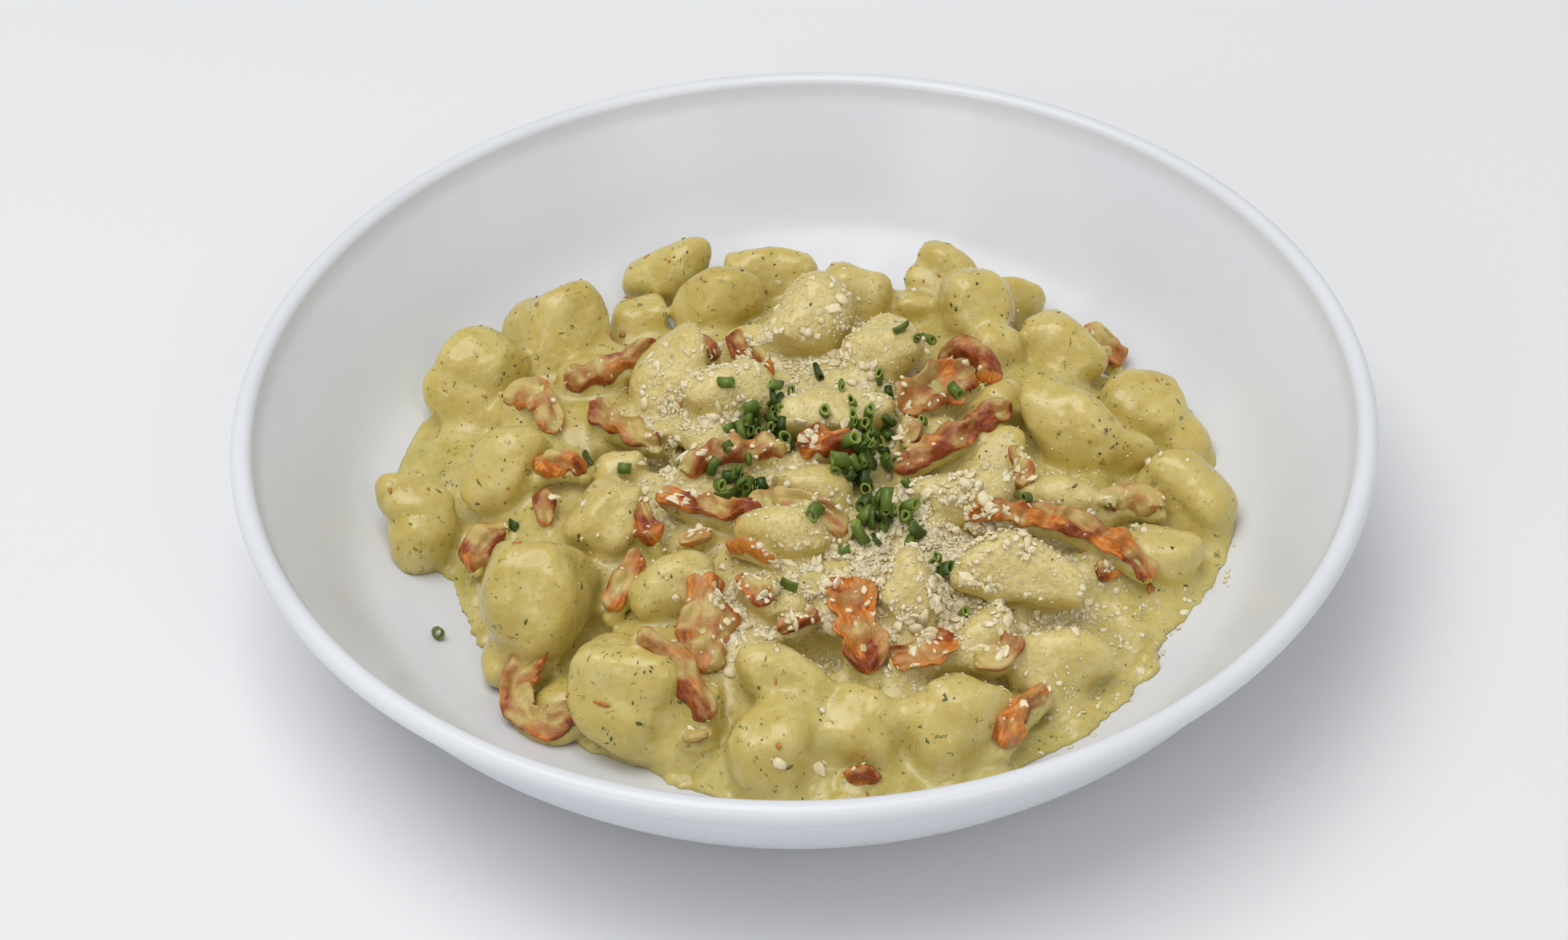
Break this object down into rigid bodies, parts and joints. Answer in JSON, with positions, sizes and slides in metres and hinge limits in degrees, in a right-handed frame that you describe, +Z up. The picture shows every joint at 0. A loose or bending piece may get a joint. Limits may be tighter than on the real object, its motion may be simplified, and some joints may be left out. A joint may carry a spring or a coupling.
{
  "type": "potato gnocchi",
  "caption": "Round white coupe bowl holding a low heap of plump potato gnocchi in creamy basil sauce, with strips of sun-dried tomato, chopped chives and grated cheese.",
  "frame": {"origin": "middle of the bowl's foot ring, on the table", "axes": "+Z up, the diner and the camera at -Y, +X to their right"},
  "size_m": [0.25, 0.25, 0.05],
  "materials": {
    "porcelain": "clear gloss glaze over cool white porcelain",
    "sauce": "wet cream sauce flecked with basil",
    "gnocchi": "soft potato dough under a wet cream sauce",
    "tomato": "wrinkled and oily, dark red to orange",
    "chive": "fresh green with a moist sheen"
  },
  "bodies": {
    "root": {"bowl": "porcelain", "fallen_chive": "chive", "gnocchi_heap": "gnocchi", "sauce": "sauce", "tomato_strip_01": "tomato", "tomato_strip_02": "tomato", "tomato_strip_03": "tomato", "tomato_strip_04": "tomato", "tomato_strip_05": "tomato", "tomato_strip_06": "tomato", "tomato_strip_07": "tomato", "tomato_strip_08": "tomato", "tomato_strip_09": "tomato", "tomato_strip_10": "tomato", "tomato_strip_11": "tomato", "tomato_strip_12": "tomato", "tomato_strip_13": "tomato", "tomato_strip_14": "tomato", "tomato_strip_15": "tomato", "tomato_strip_16": "tomato", "tomato_strip_17": "tomato", "tomato_strip_18": "tomato", "tomato_strip_19": "tomato", "tomato_strip_20": "tomato", "tomato_strip_21": "tomato", "tomato_strip_22": "tomato", "tomato_strip_23": "tomato", "tomato_strip_24": "tomato", "tomato_strip_25": "tomato", "tomato_strip_26": "tomato", "tomato_strip_27": "tomato", "tomato_strip_28": "tomato", "tomato_strip_29": "tomato", "tomato_strip_30": "tomato", "tomato_strip_31": "tomato", "tomato_strip_32": "tomato", "tomato_strip_33": "tomato", "tomato_strip_34": "tomato", "tomato_strip_35": "tomato", "tomato_strip_36": "tomato"}
  },
  "joints": []
}
